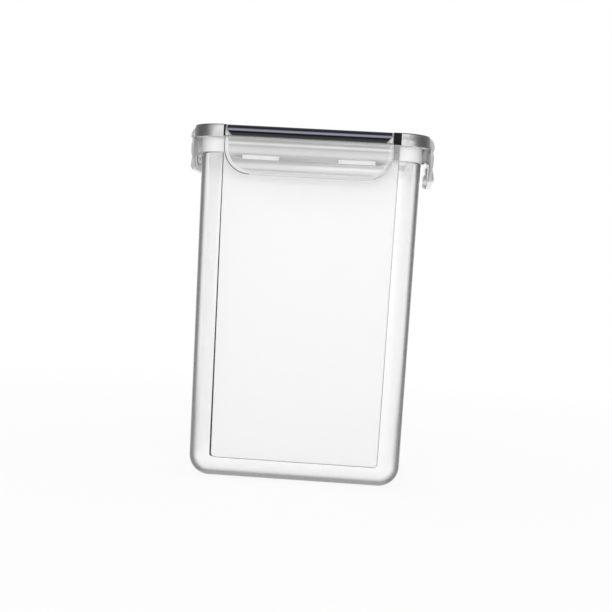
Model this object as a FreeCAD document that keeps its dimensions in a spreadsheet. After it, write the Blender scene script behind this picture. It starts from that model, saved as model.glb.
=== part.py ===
import FreeCAD, Part
import Sketcher
import math
import os
import re

# Clear square storage canister with a lid that four hinged flaps lock down.
# Z is up, the origin is the middle of the base and the front faces -Y.
# Every side piece is drawn on the right-hand side, where X runs outward from the middle
# and Y runs along the side, and is then turned about Z to its own side. Left and right ends
# are those seen from outside, and their sizes are distances from the middle of the side.

DIMENSIONS = {
    # Canister wall, measured on the outside
    "base_half": 52.45,
    "shoulder_half": 54.4,
    "shoulder_height": 160.3,
    "base_corner": 10.2,
    "heel_radius": 10.0,
    # Inside of the canister
    "mouth_half": 51.2,
    "floor_half": 50.2,
    "floor_thickness": 2.6,
    "cavity_heel": 6.5,
    "foot_recess_half": 36.0,
    "foot_recess_corner": 8.0,
    "foot_recess_depth": 0.8,
    # Neck that the lid goes over
    "neck_half": 53.0,
    "rim_height": 164.2,
    "corner_center": 42.25,
    # Shallow flat field on each side
    "panel_low": 10.3,
    "panel_high": 156.6,
    "panel_left_low": 41.3,
    "panel_left_high": 42.4,
    "panel_right_low": 41.8,
    "panel_right_high": 43.8,
    "panel_depth": 0.4,
    # Flange and catch lugs under the lid
    "flange_half": 38.0,
    "flange_reach": 57.0,
    "flange_low": 157.1,
    "flange_high": 159.7,
    "lug_start": 14.3,
    "lug_end": 32.3,
    "lug_reach": 58.8,
    "lug_low": 157.4,
    "lug_high": 159.4,
    # Lid
    "overall_height": 174.0,
    "lid_half": 58.3,
    "lid_band_low": 167.8,
    "lid_edge_round": 0.8,
    "skirt_half": 54.8,
    "skirt_low": 160.6,
    "groove_outer": 53.3,
    "groove_inner": 50.9,
    "groove_top": 167.4,
    "plug_low": 159.8,
    "plug_inner": 48.9,
    "plate_low": 171.2,
    "stack_recess_half": 47.0,
    "stack_recess_corner": 5.0,
    "stack_recess_depth": 0.8,
    "bay_left": 42.25,
    "bay_right": 44.3,
    "bay_back": 53.2,
    "bay_floor": 167.5,
    # Stepped post on the skirt below each right bracket
    "post_near": 40.9,
    "post_far": 43.7,
    "post_reach": 57.6,
    "post_foot_reach": 57.1,
    "post_step": 164.3,
    # Gasket
    "gasket_gap": 0.1,
    # Hinge
    "axis_out": 56.8,
    "axis_height": 171.0,
    "pin_radius": 0.8,
    "pin_left": 41.85,
    "pin_right": 43.7,
    "running_gap": 0.05,
    "left_bracket_near": 41.05,
    "left_bracket_far": 42.15,
    "right_bracket_near": 40.4,
    "right_bracket_far": 44.2,
    "bracket_back": 53.3,
    "bracket_out": 58.3,
    "bracket_low": 168.3,
    "bracket_round": 1.6,
    "tongue_back": 51.4,
    "tongue_low": 169.3,
    "tongue_high": 172.7,
    "tongue_margin": 0.2,
    # Strip along the top of a flap
    "strip_left": 40.25,
    "strip_right": 39.6,
    "strip_inner": 54.6,
    "strip_low": 168.4,
    "strip_top": 173.9,
    "shoulder_radius": 4.5,
    "strip_foot_round": 1.4,
    "strip_back_round": 0.7,
    "mitre": 2.6,
    # Flap
    "flap_left": 41.25,
    "flap_right": 40.65,
    "cheek_left": 40.95,
    "cheek_right": 40.3,
    "flap_low": 149.8,
    "side_flap_low": 153.0,
    "flap_outer": 60.8,
    "plate_inner": 58.6,
    "crease_depth": 0.4,
    "crease_low": 166.6,
    "ridge_height": 164.8,
    "step_depth": 0.3,
    "step_height": 159.2,
    "flare": 0.5,
    "flap_corner": 13.0,
    "lip_height": 1.4,
    "lip_rise": 2.8,
    "lip_reach": 0.4,
    "window_start": 14.0,
    "window_end": 32.6,
    "window_low": 157.1,
    "window_high": 159.8,
    # Room that a cut starts outside the flap and ends inside it
    "cut_room": 2.5,
}

# Turn of each side about Z, and which side of the canister its left and right ends are near
SIDES = {"right": 0, "rear": 90, "left": 180, "front": 270}
NEAR = {
    "right": {"left": "front", "right": "rear"},
    "rear": {"left": "right", "right": "left"},
    "left": {"left": "rear", "right": "front"},
    "front": {"left": "left", "right": "right"},
}
ENDS = ("left", "right")

# Lengths closer than this count as equal, and a cut has to take away at least this volume
SAME_LENGTH = 1e-4
LEAST_CUT = 0.01

doc = FreeCAD.newDocument("canister")
sheet = doc.addObject("Spreadsheet::Sheet", "dims")
for row, (alias, size) in enumerate(DIMENSIONS.items(), start=1):
    sheet.set(f"A{row}", alias)
    sheet.set(f"B{row}", str(size))
    sheet.setAlias(f"B{row}", alias)
doc.recompute()


def bound(text):
    """Turn dimension names in an expression into references to the sheet."""
    return re.sub(r"[a-z]+_[a-z_]+|flare|mitre", r"dims.\g<0>", text)


def value(text):
    """Work an expression out as a plain number."""
    result = sheet.evalExpression(bound(text))
    return float(getattr(result, "Value", result))


def bind(feature, **sizes):
    """Bind properties of a feature to expressions in dimension names."""
    for prop, text in sizes.items():
        feature.setExpression(prop, bound(text))


def new_body(label, angle=0):
    """Start a body that is turned about Z to its side of the canister."""
    body = doc.addObject("PartDesign::Body", label)
    body.Label = label
    body.Placement.Rotation = FreeCAD.Rotation(FreeCAD.Vector(0, 0, 1), angle)
    return body


def origin_feature(body, role):
    return next(item for item in body.Origin.OriginFeatures if item.Role == role)


def new_sketch(body, name, role, offset="0"):
    """Add a sketch on an origin plane of the body, moved along the plane's normal."""
    sketch = body.newObject("Sketcher::SketchObject", name)
    sketch.AttachmentSupport = [(origin_feature(body, role), "")]
    sketch.MapMode = "FlatFace"
    sketch.setExpression("AttachmentOffset.Base.z", bound(offset))
    return sketch


def drive(sketch, kind, references, text):
    """Add a dimension to a sketch and bind it to an expression."""
    index = sketch.addConstraint(Sketcher.Constraint(kind, *references, value(text)))
    sketch.setExpression(f"Constraints[{index}]", bound(text))


def outline(sketch, corners):
    """Draw one closed outline through corners of (x, y) or (x, y, radius, turn).

    The edge that leaves a corner with a radius is an arc under a half circle, which
    turns left (+1) or right (-1) on its way to the next corner.
    """
    first = sketch.GeometryCount
    points = [FreeCAD.Vector(value(c[0]), value(c[1]), 0) for c in corners]
    starts = []
    for index, corner in enumerate(corners):
        begin = points[index]
        end = points[(index + 1) % len(points)]
        if len(corner) == 2:
            sketch.addGeometry(Part.LineSegment(begin, end))
            starts.append((1, 2))
            continue
        radius = value(corner[2])
        turn = corner[3]
        chord = end - begin
        rise = math.sqrt(max(radius**2 - chord.Length**2 / 4, 0))
        side = FreeCAD.Vector(-chord.y, chord.x, 0).normalize() * turn
        center = (begin + end) * 0.5 + side * rise
        low, high = (begin, end) if turn > 0 else (end, begin)
        full_circle = Part.Circle(center, FreeCAD.Vector(0, 0, 1), radius)
        low_angle = math.atan2(low.y - center.y, low.x - center.x)
        high_angle = math.atan2(high.y - center.y, high.x - center.x)
        sketch.addGeometry(Part.ArcOfCircle(full_circle, low_angle, high_angle))
        starts.append((1, 2) if turn > 0 else (2, 1))
    count = len(corners)
    for index, corner in enumerate(corners):
        here = first + index
        before = (index - 1) % count
        sketch.addConstraint(
            Sketcher.Constraint("Coincident", first + before, starts[before][1], here, starts[index][0])
        )
        drive(sketch, "DistanceX", (-1, 1, here, starts[index][0]), corner[0])
        drive(sketch, "DistanceY", (-1, 1, here, starts[index][0]), corner[1])
        if len(corner) > 2:
            drive(sketch, "Radius", (here,), corner[2])


def rectangle(sketch, x_low, x_high, y_low, y_high):
    outline(sketch, [(x_low, y_low), (x_high, y_low), (x_high, y_high), (x_low, y_high)])


def outline_at(sketch, end, corners):
    """Draw an outline at the right end of a side, or its mirror image at the left end."""
    if end == "right":
        outline(sketch, corners)
        return
    mirrored = []
    for index in reversed(range(len(corners))):
        along, height = corners[index][:2]
        arc = corners[index - 1][2:]
        mirrored.append((f"-({along})", height, *arc))
    outline(sketch, mirrored)


def rectangle_at(sketch, end, near, far, low, high):
    outline_at(sketch, end, [(near, low), (far, low), (far, high), (near, high)])


def rounded_square(sketch, half, radius):
    """Draw a square with round corners about the middle."""
    straight = f"(({half}) - ({radius}))"
    low, high = f"-{straight}", straight
    edge, far = f"({half})", f"-({half})"
    outline(
        sketch,
        [
            (low, far),
            (high, far, radius, 1),
            (edge, low),
            (edge, high, radius, 1),
            (high, edge),
            (low, edge, radius, 1),
            (far, high),
            (far, low, radius, 1),
        ],
    )


def circle(sketch, x, y, radius):
    index = sketch.addGeometry(
        Part.Circle(FreeCAD.Vector(value(x), value(y), 0), FreeCAD.Vector(0, 0, 1), value(radius))
    )
    drive(sketch, "DistanceX", (-1, 1, index, 3), x)
    drive(sketch, "DistanceY", (-1, 1, index, 3), y)
    drive(sketch, "Radius", (index,), radius)


def pad(body, sketch, length, symmetric=False, backward=False, taper=None):
    """Build a sketch out from its plane, along the plane's normal unless backward."""
    feature = body.newObject("PartDesign::Pad", sketch.Name + "_pad")
    feature.Profile = sketch
    feature.SideType = "Symmetric" if symmetric else "One side"
    feature.Reversed = backward
    bind(feature, Length=length)
    if taper:
        bind(feature, TaperAngle=taper)
    doc.recompute()
    return feature


def pocket(body, sketch, length, upward=False):
    """Cut a sketch into its body, against the sketch's normal unless upward."""
    before = body.Shape.Volume
    feature = body.newObject("PartDesign::Pocket", sketch.Name + "_pocket")
    feature.Profile = sketch
    feature.Reversed = upward
    bind(feature, Length=length)
    doc.recompute()
    if feature.Shape.Volume > before - LEAST_CUT:
        raise ValueError(f"{feature.Name} cuts nothing")
    return feature


def around(body, name, features):
    """Repeat features on all four sides."""
    pattern = body.newObject("PartDesign::PolarPattern", name)
    pattern.Originals = features
    pattern.Axis = (origin_feature(body, "Z_Axis"), [""])
    pattern.Angle = 360
    pattern.Occurrences = len(SIDES)
    body.Tip = pattern
    doc.recompute()
    return pattern


def round_level(body, name, base, height, radius, reach="0"):
    """Round the edges of a feature that lie flat at one height, outside a reach."""
    level = value(height)
    least = value(reach)
    edges = []
    for number, edge in enumerate(base.Shape.Edges, start=1):
        box = edge.BoundBox
        flat = abs(box.ZMin - level) < SAME_LENGTH and abs(box.ZMax - level) < SAME_LENGTH
        middle = edge.valueAt((edge.FirstParameter + edge.LastParameter) / 2)
        if flat and max(abs(middle.x), abs(middle.y)) > least:
            edges.append(f"Edge{number}")
    feature = body.newObject("PartDesign::Fillet", name)
    feature.Base = (base, edges)
    bind(feature, Radius=radius)
    doc.recompute()
    return feature


def concentric(half):
    """Corner radius that keeps the corners of the lid and neck on common centres."""
    return f"{half} - corner_center"


def make_canister():
    body = new_body("canister_outside")
    wall = new_sketch(body, "wall", "XY_Plane")
    rounded_square(wall, "base_half", "base_corner")
    draft = "atan((shoulder_half - base_half) / shoulder_height)"
    sides = pad(body, wall, "shoulder_height", taper=draft)
    round_level(body, "heel", sides, "0", "heel_radius")

    panel = new_sketch(body, "panel", "YZ_Plane", "base_half")
    panel.setExpression("AttachmentOffset.Rotation.Angle", bound(draft))
    panel.setExpression("AttachmentOffset.Rotation.Axis.x", "1")
    panel.setExpression("AttachmentOffset.Rotation.Axis.z", "0")
    outline(
        panel,
        [
            ("-panel_left_low", "panel_low"),
            ("panel_right_low", "panel_low"),
            ("panel_right_high", "panel_high"),
            ("-panel_left_high", "panel_high"),
        ],
    )
    around(body, "panels", [pocket(body, panel, "panel_depth")])

    neck = new_sketch(body, "neck", "XY_Plane", "shoulder_height")
    rounded_square(neck, "neck_half", concentric("neck_half"))
    pad(body, neck, "rim_height - shoulder_height")

    flange = new_sketch(body, "flange", "XY_Plane", "flange_low")
    rectangle(flange, "neck_half", "flange_reach", "-flange_half", "flange_half")
    lugs = new_sketch(body, "lugs", "YZ_Plane", "neck_half")
    for end in ENDS:
        rectangle_at(lugs, end, "lug_start", "lug_end", "lug_low", "lug_high")
    catches = [
        pad(body, flange, "flange_high - flange_low"),
        pad(body, lugs, "lug_reach - neck_half"),
    ]
    around(body, "catches", catches)

    foot = new_sketch(body, "foot", "XY_Plane")
    rounded_square(foot, "foot_recess_half", "foot_recess_corner")
    pocket(body, foot, "foot_recess_depth", upward=True)

    shell = doc.addObject("Part::Cut", "canister_shell")
    shell.Label = "canister_shell"
    shell.Base = body
    shell.Tool = make_cavity()
    doc.recompute()
    return shell


def make_cavity():
    """Space inside the canister, from the floor to the rim."""
    body = new_body("cavity")
    floor = new_sketch(body, "floor", "XY_Plane", "floor_thickness")
    rounded_square(floor, "floor_half", concentric("floor_half"))
    depth = "rim_height - floor_thickness"
    space = pad(body, floor, depth, taper=f"atan((mouth_half - floor_half) / ({depth}))")
    round_level(body, "floor_round", space, "floor_thickness", "cavity_heel")
    return body


def make_lid():
    body = new_body("lid_shell")
    band = new_sketch(body, "band", "XY_Plane", "lid_band_low")
    rounded_square(band, "lid_half", concentric("lid_half"))
    top = pad(body, band, "overall_height - lid_band_low")
    round_level(body, "top_round", top, "overall_height", "lid_edge_round")

    skirt = new_sketch(body, "skirt", "XY_Plane", "skirt_low")
    rounded_square(skirt, "skirt_half", concentric("skirt_half"))
    pad(body, skirt, "lid_band_low - skirt_low")
    groove = new_sketch(body, "groove", "XY_Plane", "skirt_low")
    rounded_square(groove, "groove_outer", concentric("groove_outer"))
    pocket(body, groove, "groove_top - skirt_low", upward=True)
    plug = new_sketch(body, "plug", "XY_Plane", "plug_low")
    rounded_square(plug, "groove_inner", concentric("groove_inner"))
    pad(body, plug, "groove_top - plug_low")
    hollow = new_sketch(body, "hollow", "XY_Plane", "plug_low")
    rounded_square(hollow, "plug_inner", concentric("plug_inner"))
    pocket(body, hollow, "plate_low - plug_low", upward=True)
    stack = new_sketch(body, "stack", "XY_Plane", "overall_height")
    rounded_square(stack, "stack_recess_half", "stack_recess_corner")
    pocket(body, stack, "stack_recess_depth")

    tiers = []
    for name, low, high, reach in (
        ("post_foot", "skirt_low", "post_step", "post_foot_reach"),
        ("post_head", "post_step", "lid_band_low", "post_reach"),
    ):
        tier = new_sketch(body, name, "XY_Plane", low)
        rectangle(tier, "groove_outer", reach, "post_near", "post_far")
        tiers.append(pad(body, tier, f"{high} - {low}"))
    around(body, "posts", tiers)

    bay = new_sketch(body, "bay", "XY_Plane", "overall_height")
    rectangle(bay, "bay_back", "flap_outer", "-bay_left", "bay_right")
    slots = new_sketch(body, "slots", "YZ_Plane", "bay_back")
    for end in ENDS:
        rectangle_at(
            slots,
            end,
            f"{end}_bracket_near + tongue_margin - running_gap",
            f"{end}_bracket_far - tongue_margin + running_gap",
            "tongue_low - running_gap",
            "tongue_high + running_gap",
        )
    cuts = [
        pocket(body, bay, "overall_height - bay_floor"),
        pocket(body, slots, "bay_back - tongue_back + running_gap"),
    ]
    around(body, "bays", cuts)
    return body


def make_gasket():
    body = new_body("gasket")
    ring = new_sketch(body, "ring", "XY_Plane", "rim_height + gasket_gap")
    rounded_square(ring, "groove_outer - gasket_gap", concentric("groove_outer - gasket_gap"))
    rounded_square(ring, "groove_inner + gasket_gap", concentric("groove_inner + gasket_gap"))
    pad(body, ring, "groove_top - rim_height - 2 * gasket_gap")
    return body


def strip_section(sketch):
    """Draw the section of a hinge strip, with the hole for the pin."""
    outline(
        sketch,
        [
            ("strip_inner + strip_foot_round", "strip_low"),
            ("flap_outer", "strip_low"),
            ("flap_outer", "strip_top - shoulder_radius", "shoulder_radius", 1),
            ("flap_outer - shoulder_radius", "strip_top"),
            ("strip_inner + strip_back_round", "strip_top", "strip_back_round", 1),
            ("strip_inner", "strip_top - strip_back_round"),
            ("strip_inner", "strip_low + strip_foot_round", "strip_foot_round", 1),
        ],
    )
    circle(sketch, "axis_out", "axis_height", "pin_radius + running_gap")


def make_flap(side, angle):
    """Clear flap that holds its hinge strip between two cheeks, with two windows and a lip to lift it by."""
    low = "flap_low" if side in ("front", "rear") else "side_flap_low"
    body = new_body(f"{side}_flap", angle)
    profile = new_sketch(body, f"{side}_flap_profile", "XZ_Plane", "flap_left")
    outline(
        profile,
        [
            ("plate_inner", "strip_low"),
            ("plate_inner", "window_high"),
            ("plate_inner + flare", "window_low"),
            ("plate_inner + flare", low),
            ("flap_outer + flare + lip_reach", low),
            ("flap_outer + flare + lip_reach", f"{low} + lip_height"),
            ("flap_outer + flare", f"{low} + lip_rise"),
            ("flap_outer - step_depth", "step_height"),
            ("flap_outer", "window_high"),
            ("flap_outer", "ridge_height"),
            ("flap_outer - crease_depth", "crease_low"),
            ("flap_outer - crease_depth", "strip_low"),
        ],
    )
    pad(body, profile, "flap_left + flap_right", backward=True)

    seat = new_sketch(body, f"{side}_strip_seat", "YZ_Plane", "flap_outer + cut_room")
    for end in ENDS:
        right = end == "right"
        sign = "-" if right else ""
        cheek = new_sketch(body, f"{side}_{end}_cheek", "XZ_Plane", f"{sign}cheek_{end}")
        strip_section(cheek)
        pad(body, cheek, f"cheek_{end} - strip_{end} + mitre", backward=not right)
        outline_at(
            seat,
            end,
            [
                (f"strip_{end} - mitre", "strip_low"),
                (f"strip_{end}", "strip_low + mitre"),
                (f"strip_{end}", "overall_height"),
                (f"strip_{end} - mitre - cut_room", "overall_height"),
                (f"strip_{end} - mitre - cut_room", "strip_low"),
            ],
        )
    pocket(body, seat, "flap_outer - bay_back + cut_room")

    through = "flap_outer - plate_inner + 2 * cut_room"
    corners = new_sketch(body, f"{side}_flap_corners", "YZ_Plane", "flap_outer + cut_room")
    windows = new_sketch(body, f"{side}_flap_windows", "YZ_Plane", "flap_outer + cut_room")
    for end in ENDS:
        outline_at(
            corners,
            end,
            [
                (f"flap_{end}", low),
                (f"flap_{end}", f"{low} + flap_corner", "flap_corner", -1),
                (f"flap_{end} - flap_corner", low),
            ],
        )
        rectangle_at(windows, end, "window_start", "window_end", "window_low", "window_high")
    pocket(body, corners, through)
    pocket(body, windows, through)
    return body


def make_strip(side, angle):
    """Black strip along the top of a flap, which turns on the pin."""
    body = new_body(f"{side}_hinge_strip", angle)
    profile = new_sketch(body, f"{side}_strip_profile", "XZ_Plane", "strip_left")
    strip_section(profile)
    pad(body, profile, "strip_left + strip_right", backward=True)

    mitres = new_sketch(body, f"{side}_strip_mitres", "YZ_Plane", "flap_outer")
    for end in ENDS:
        outline_at(
            mitres,
            end,
            [
                (f"strip_{end}", "strip_low"),
                (f"strip_{end}", "strip_low + mitre"),
                (f"strip_{end} - mitre", "strip_low"),
            ],
        )
    pocket(body, mitres, "flap_outer - bay_back")
    return body


def make_bracket(side, angle, end):
    """Black block at one end of a strip, with a tongue in the lid and a hole for the pin."""
    name = f"{side}_hinge_{NEAR[side][end]}_bracket"
    right = end == "right"
    sign = "-" if right else ""
    near, far = f"{end}_bracket_near", f"{end}_bracket_far"
    body = new_body(name, angle)
    profile = new_sketch(body, f"{name}_profile", "XZ_Plane", f"{sign}{near}")
    outline(
        profile,
        [
            ("bracket_back", "bracket_low"),
            ("bracket_out - bracket_round", "bracket_low", "bracket_round", 1),
            ("bracket_out", "bracket_low + bracket_round"),
            ("bracket_out", "overall_height - bracket_round", "bracket_round", 1),
            ("bracket_out - bracket_round", "overall_height"),
            ("bracket_back", "overall_height"),
        ],
    )
    pad(body, profile, f"{far} - {near}", backward=right)
    tongue = new_sketch(body, f"{name}_tongue", "XZ_Plane", f"{sign}({near} + tongue_margin)")
    rectangle(tongue, "tongue_back", "bracket_back + tongue_margin", "tongue_low", "tongue_high")
    pad(body, tongue, f"{far} - {near} - 2 * tongue_margin", backward=right)
    socket = new_sketch(body, f"{name}_socket", "XZ_Plane", f"{sign}{near}")
    circle(socket, "axis_out", "axis_height", "pin_radius + running_gap / 2")
    pocket(body, socket, f"pin_{end} - {near} + running_gap", upward=not right)
    return body


def make_pin(side, angle):
    """Steel pin along one side."""
    pin = doc.addObject("Part::Cylinder", f"{side}_hinge_pin")
    pin.Label = f"{side}_hinge_pin"
    bind(pin, Radius="pin_radius", Height="pin_left + pin_right")
    along = FreeCAD.Rotation(FreeCAD.Vector(1, 0, 0), -90)
    start = FreeCAD.Vector(value("axis_out"), -value("pin_left"), value("axis_height"))
    turn = FreeCAD.Placement(FreeCAD.Vector(), FreeCAD.Rotation(FreeCAD.Vector(0, 0, 1), angle))
    pin.Placement = turn * FreeCAD.Placement(start, along)
    return pin


def make_side(side, angle):
    pieces = [make_flap(side, angle), make_strip(side, angle), make_pin(side, angle)]
    for end in ENDS:
        pieces.append(make_bracket(side, angle, end))
    return pieces


parts = [make_canister(), make_lid(), make_gasket()]
for side, angle in SIDES.items():
    parts.extend(make_side(side, angle))
doc.recompute()

for item in doc.Objects:
    if {"Invalid", "Error"} & set(item.State):
        raise ValueError(f"{item.Name} is in error: {item.State}")
for part in parts:
    if part.Shape.isNull() or not part.Shape.isValid() or len(part.Shape.Solids) != 1:
        raise ValueError(f"{part.Label} is not one valid solid")

os.makedirs("parts", exist_ok=True)
for part in parts:
    part.Shape.exportStep(f"parts/{part.Label}.step")
    box = part.Shape.BoundBox
    print(f"{part.Label}: {part.Shape.Volume / 1000:.2f} cm3, z {box.ZMin:.2f} to {box.ZMax:.2f}")
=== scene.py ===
import math
from collections import namedtuple

import bmesh
import bpy
from mathutils import Matrix, Vector


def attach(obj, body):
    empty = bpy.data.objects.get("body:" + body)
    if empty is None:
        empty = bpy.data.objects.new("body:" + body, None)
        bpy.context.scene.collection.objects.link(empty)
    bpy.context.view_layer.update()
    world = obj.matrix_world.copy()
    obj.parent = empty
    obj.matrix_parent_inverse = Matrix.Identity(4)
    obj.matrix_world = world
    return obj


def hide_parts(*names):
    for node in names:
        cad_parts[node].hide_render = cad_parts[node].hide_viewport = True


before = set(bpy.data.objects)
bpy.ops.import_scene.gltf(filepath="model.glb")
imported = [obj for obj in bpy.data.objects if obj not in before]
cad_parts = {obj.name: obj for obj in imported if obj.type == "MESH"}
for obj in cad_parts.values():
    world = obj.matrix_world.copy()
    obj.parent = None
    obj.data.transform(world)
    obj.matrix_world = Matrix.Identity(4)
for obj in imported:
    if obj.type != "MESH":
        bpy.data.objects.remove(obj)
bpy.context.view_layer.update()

# Clear square storage canister: four satin fields, a clear lid and four hinged flaps with black strips.
# Sizes are in millimetres and become metres when a piece is finished. Z is up, the front faces -Y.
# Side pieces are made on the right-hand side, where X runs outward and Y along, and turned to their side.

METRE = 0.001
SIDES = {"right": 0, "rear": 90, "left": 180, "front": 270}

# Square with rounded corners that the canister, the lid and the seal follow
CORNER_CENTER, CORNER_STEPS, MERGE_DISTANCE = 42.25, 16, 0.005
SMALL_ROUNDING, FEW_SEGMENTS, MANY_SEGMENTS = 2.0, 3, 12

# Spare lengths of cutters, overlap of shapes that are joined or cut, and slack in telling faces apart
ROOM, FAR, OVERLAP, SLACK = 1.0, 30.0, 0.1, 0.01

# Limits of a face's normal along a direction. It looks inside below LOOKS_IN, and that way above the others.
LOOKS_IN, LEANS, STEEP, SQUARE_ON = 0.05, 0.3, 0.5, 0.99

# Softened edges
FINE_EDGE, LID_EDGE, SOFT_ANGLE = 0.12, 0.2, 35

# Canister
BASE_HALF, SHOULDER_HALF, SHOULDER_HEIGHT = 52.45, 54.4, 160.3
HEEL, FLOOR, CAVITY_HEEL = 10.0, 2.6, 6.5
FLOOR_HALF, MOUTH_HALF, NECK_HALF, RIM = 50.2, 51.2, 53.0, 164.2
FOOT_HALF, FOOT_CORNER, FOOT_DEPTH = 36.0, 8.0, 0.8
FLANGE_ROOT, FLANGE_REACH = NECK_HALF + 0.5, 57.0
FLANGE_HALF, FLANGE_LEVELS = 38.0, (157.1, 159.7)
LUG_ALONG, LUG_REACH, LUG_LEVELS = (14.3, 32.3), 58.8, (157.4, 159.4)
INSIDE_FROM, CATCH_FROM = 2.0, FLANGE_REACH + 0.1
HEEL_TOP, HEEL_TILTS = FLOOR + 0.3, (-0.95, -0.1)

# Flat field of a side. Pairs are at its foot and at its top.
FIELD_LOW, FIELD_HIGH, FIELD_DEPTH = 10.3, 161.0, 0.4
FIELD_LEFT, FIELD_RIGHT = (41.3, 42.43), (41.8, 43.86)
FIELD_CORNER, FIELD_BANDS = 1.5, 12
STEP_LEFT, STEP_RIGHT, STEP_FOOT = (0.8, 0.3), (0.2, 0.5), 0.2
# The last number is the share of the step's painted shade along a field's foot and at its right end
LEAST_SUNK, DEPTH_SLACK, FAINT_STEP_SHADE = 0.02, 0.05, 0.5

# Lid and seal
LID_HALF, LID_TOP, BAND_LOW = 58.3, 174.0, 167.8
SKIRT_HALF, SKIRT_LOW = 54.8, 160.6
GROOVE_OUTER, GROOVE_INNER, GROOVE_TOP = 53.3, 50.9, 167.4
PLUG_INNER, PLUG_LOW, PLATE_LOW = 48.9, 159.8, 171.2
STACK_HALF, STACK_LEVEL = 47.0, 173.2
BAY_LEFT, BAY_RIGHT, BAY_BACK, BAY_FLOOR = 42.25, 44.3, 53.2, 167.5
POST_ALONG, POST_FROM, POST_STEP = (40.9, 43.7), SKIRT_HALF + 0.2, 164.3
POST_REACH, POST_FOOT_REACH = 57.6, 57.1
SLOTS_ALONG = ((-42.0, -41.2), (40.55, 44.05))
SLOT_BACK, SLOT_LEVELS = 51.35, (169.25, 172.75)
SEAL_GAP, SEAL_ROUNDING = 0.1, 0.6

# Strip, and the cheeks over its ends
STRIP_LEFT, STRIP_RIGHT = 40.25, 39.6
CHEEK_LEFT, CHEEK_RIGHT, CHEEK_DROP = 40.95, 40.3, 0.15
STRIP_LOW, STRIP_TOP, STRIP_INNER = 168.4, 173.9, 54.6
SHOULDER, MITRE = 4.5, 2.6
AXIS_OUT, AXIS_HEIGHT, PIN_HOLE = 56.8, 171.0, 0.85
ENDS = ((-1, STRIP_LEFT, CHEEK_LEFT), (1, STRIP_RIGHT, CHEEK_RIGHT))

# Flap. UPPER_LEVELS are (height, step from FLAP_OUTER), from the windows up to the strip.
FLAP_LEFT, FLAP_RIGHT = 41.25, 40.65
FLAP_LOW = {"front": 149.8, "rear": 149.8, "left": 153.0, "right": 153.0}
FLAP_OUTER, FLAP_INNER, FLAP_CORNER = 60.8, 58.6, 13.0
FLARE, LIP, LIP_RISE, LIP_FADE = 0.5, 0.4, 1.4, 2.8
LIP_OUTER, FLAP_BACK = FLAP_OUTER + FLARE + LIP, FLAP_INNER + FLARE
UPPER_LEVELS = [(159.2, -0.3), (160.2, 0.0), (164.8, 0.0), (166.6, -0.4), (STRIP_LOW, -0.4)]
WINDOW_ALONG, WINDOW_LEVELS = (14.0, 32.6), (157.1, 159.8)
# RIM_LEAST is the share of the painted rim highlight away from the flap's left end; LEFT_LIMIT and LEFT_FADE say
# where the painted rim highlight and outline shade fade out
RIM_RINGS, RIM_DROP, BAND_HEIGHT = (0.45, 0.4, 0.5, 0.7), 0.4, 0.57
RIM_TOP, RIM_LEAST = STRIP_LOW - 0.3, 0.45
LEFT_LIMIT, LEFT_FADE = -FLAP_LEFT + FLAP_CORNER + 4, 6.0

# Thin edge that the flap's lower corners turn in
EDGE_WIDTH, EDGE_BACK, EDGE_RISE = 1.5, 57.2, 6.0
EDGE_FROM, EDGE_FULL = 28.5, 34.0
EDGE_START, EDGE_ROOT = FLAP_BACK + 0.15, FLAP_BACK + 0.3


def everything(bm):
    """All the points, edges and faces of a shape."""
    return bm.verts[:] + bm.edges[:] + bm.faces[:]


def new_points(result):
    """The points that an extrusion has made."""
    return [item for item in result["geom"] if isinstance(item, bmesh.types.BMVert)]


def round_off(bm, sharp, radius, segments, affect):
    """Round edges, or the corner points of a line or a flat shape."""
    bmesh.ops.bevel(
        bm, geom=sharp, offset=radius, offset_type="OFFSET", segments=segments, profile=0.5, affect=affect,
        material=-1,
    )


def close_holes(bm):
    """Put faces in the open ends of a shape."""
    bmesh.ops.holes_fill(bm, edges=[edge for edge in bm.edges if edge.is_boundary], sides=0)
    bmesh.ops.recalc_face_normals(bm, faces=bm.faces)


def cut_level(bm, height):
    """Cut the faces of a shape along a level line."""
    bmesh.ops.bisect_plane(bm, geom=everything(bm), plane_co=(0, 0, height), plane_no=(0, 0, 1))


def line_through(corners, closed=False):
    """Draw a line in the XZ plane through corners of (out, height, rounding) and round its corners."""
    bm = bmesh.new()
    verts = [bm.verts.new((out, 0, height)) for out, height, _ in corners]
    for here, there in zip(verts, verts[1:]):
        bm.edges.new((here, there))
    if closed:
        bm.edges.new((verts[-1], verts[0]))
    for rounding in sorted({corner[2] for corner in corners if corner[2]}):
        sharp = [vert for vert, corner in zip(verts, corners) if corner[2] == rounding]
        segments = FEW_SEGMENTS if rounding < SMALL_ROUNDING else MANY_SEGMENTS
        round_off(bm, sharp, rounding, segments, affect="VERTICES")
    return bm


def sweep_square(corners):
    """Carry a profile round a square with rounded corners, and close the holes that are left."""
    bm = line_through(corners)
    bmesh.ops.translate(bm, verts=bm.verts, vec=(0, CORNER_CENTER, 0))
    swept = bmesh.ops.spin(
        bm, geom=bm.verts[:] + bm.edges[:], cent=(CORNER_CENTER, CORNER_CENTER, 0), axis=(0, 0, 1),
        angle=math.pi / 2, steps=CORNER_STEPS, use_merge=False,
    )
    ends = [item for item in swept["geom_last"] if isinstance(item, bmesh.types.BMEdge)]
    side = bmesh.ops.extrude_edge_only(bm, edges=ends)
    bmesh.ops.translate(bm, verts=new_points(side), vec=(-2 * CORNER_CENTER, 0, 0))
    bmesh.ops.spin(
        bm, geom=everything(bm), cent=(0, 0, 0), axis=(0, 0, 1), angle=1.5 * math.pi, steps=3, use_duplicate=True
    )
    bmesh.ops.remove_doubles(bm, verts=bm.verts, dist=MERGE_DISTANCE)
    close_holes(bm)
    return bm


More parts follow.
